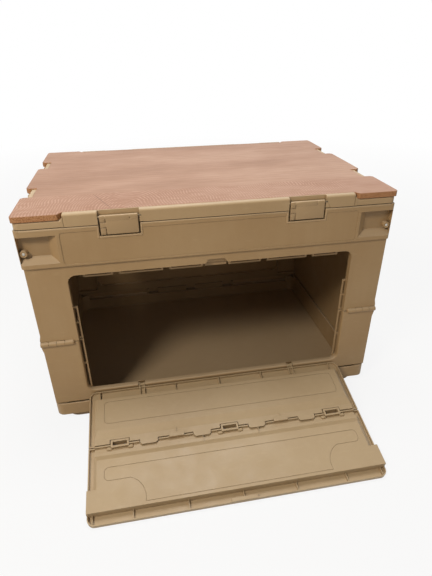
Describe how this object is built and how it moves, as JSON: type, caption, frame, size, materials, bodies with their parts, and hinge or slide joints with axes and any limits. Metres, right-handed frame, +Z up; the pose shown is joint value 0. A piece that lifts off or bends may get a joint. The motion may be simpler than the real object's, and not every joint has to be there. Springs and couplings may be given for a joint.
{
  "type": "chuck box",
  "caption": "Fold-flat camping chuck box with a latched lid carrying a wooden table top, hinged end panels and a folding drop-down front door.",
  "frame": {"origin": "on the floor, under the middle of the box body", "axes": "+X along the table top's long side to the right of someone facing the door, +Y from the door towards the rear, +Z up"},
  "size_m": [0.53, 0.5622, 0.355],
  "materials": {
    "moulded_plastic": "satin moulded, tan",
    "door_plastic": "satin moulded, tan",
    "latch_plastic": "satin moulded, tan",
    "board_wood": "flat-sawn board, thin satin lacquer",
    "pin_steel": "drawn bright wire"
  },
  "bodies": {
    "box": {"base_tray": "moulded_plastic", "front_lower_wall": "moulded_plastic", "front_upper_wall": "moulded_plastic", "rear_lower_wall": "moulded_plastic", "rear_upper_wall": "moulded_plastic", "top_frame": "moulded_plastic", "left_end_rod": "pin_steel", "right_end_rod": "pin_steel", "door_hinge_pins": "pin_steel", "front_base_hinge_pins": "pin_steel", "rear_base_hinge_pins": "pin_steel", "front_frame_hinge_pins": "pin_steel", "rear_frame_hinge_pins": "pin_steel", "front_fold_pins": "pin_steel", "rear_fold_pins": "pin_steel"},
    "lid": {"lid_frame": "moulded_plastic", "notch_strips": "moulded_plastic", "table_board": "board_wood", "board_screws": "pin_steel", "front_left_latch_pin": "pin_steel", "front_right_latch_pin": "pin_steel", "rear_left_latch_pin": "pin_steel", "rear_right_latch_pin": "pin_steel"},
    "front_left_lever": {"front_left_latch": "latch_plastic"},
    "front_right_lever": {"front_right_latch": "latch_plastic"},
    "rear_left_lever": {"rear_left_latch": "latch_plastic"},
    "rear_right_lever": {"rear_right_latch": "latch_plastic"},
    "door_lower": {"door_lower_leaf": "door_plastic", "door_fold_pins": "pin_steel"},
    "door_upper": {"door_upper_leaf": "door_plastic"},
    "left_end": {"left_end_panel": "moulded_plastic"},
    "right_end": {"right_end_panel": "moulded_plastic"}
  },
  "joints": [
    {"name": "lid_hinge", "type": "hinge", "parent": "box", "child": "lid", "pos_m": [0, 0.1798, 0.346], "axis": [-1, 0, 0], "range_deg": [0, 100]},
    {"name": "front_left_latch_hinge", "type": "hinge", "parent": "lid", "child": "front_left_lever", "pos_m": [-0.13, -0.1798, 0.346], "axis": [-1, 0, 0], "range_deg": [0, 80]},
    {"name": "front_right_latch_hinge", "type": "hinge", "parent": "lid", "child": "front_right_lever", "pos_m": [0.13, -0.1798, 0.346], "axis": [-1, 0, 0], "range_deg": [0, 80]},
    {"name": "rear_left_latch_hinge", "type": "hinge", "parent": "box", "child": "rear_left_lever", "pos_m": [-0.13, 0.1798, 0.346], "axis": [1, 0, 0], "range_deg": [0, 80]},
    {"name": "rear_right_latch_hinge", "type": "hinge", "parent": "box", "child": "rear_right_lever", "pos_m": [0.13, 0.1798, 0.346], "axis": [1, 0, 0], "range_deg": [0, 80]},
    {"name": "door_hinge", "type": "hinge", "parent": "box", "child": "door_lower", "pos_m": [0, -0.175, 0.0545], "axis": [-1, 0, 0], "range_deg": [0, 103.8]},
    {"name": "door_fold", "type": "hinge", "parent": "door_lower", "child": "door_upper", "pos_m": [0, -0.27277, 0.02636], "axis": [1, 0, 0], "range_deg": [0, 130]},
    {"name": "left_end_hinge", "type": "hinge", "parent": "box", "child": "left_end", "pos_m": [-0.258, 0, 0.302], "axis": [0, -1, 0], "range_deg": [0, 90]},
    {"name": "right_end_hinge", "type": "hinge", "parent": "box", "child": "right_end", "pos_m": [0.258, 0, 0.302], "axis": [0, 1, 0], "range_deg": [0, 90]}
  ]
}
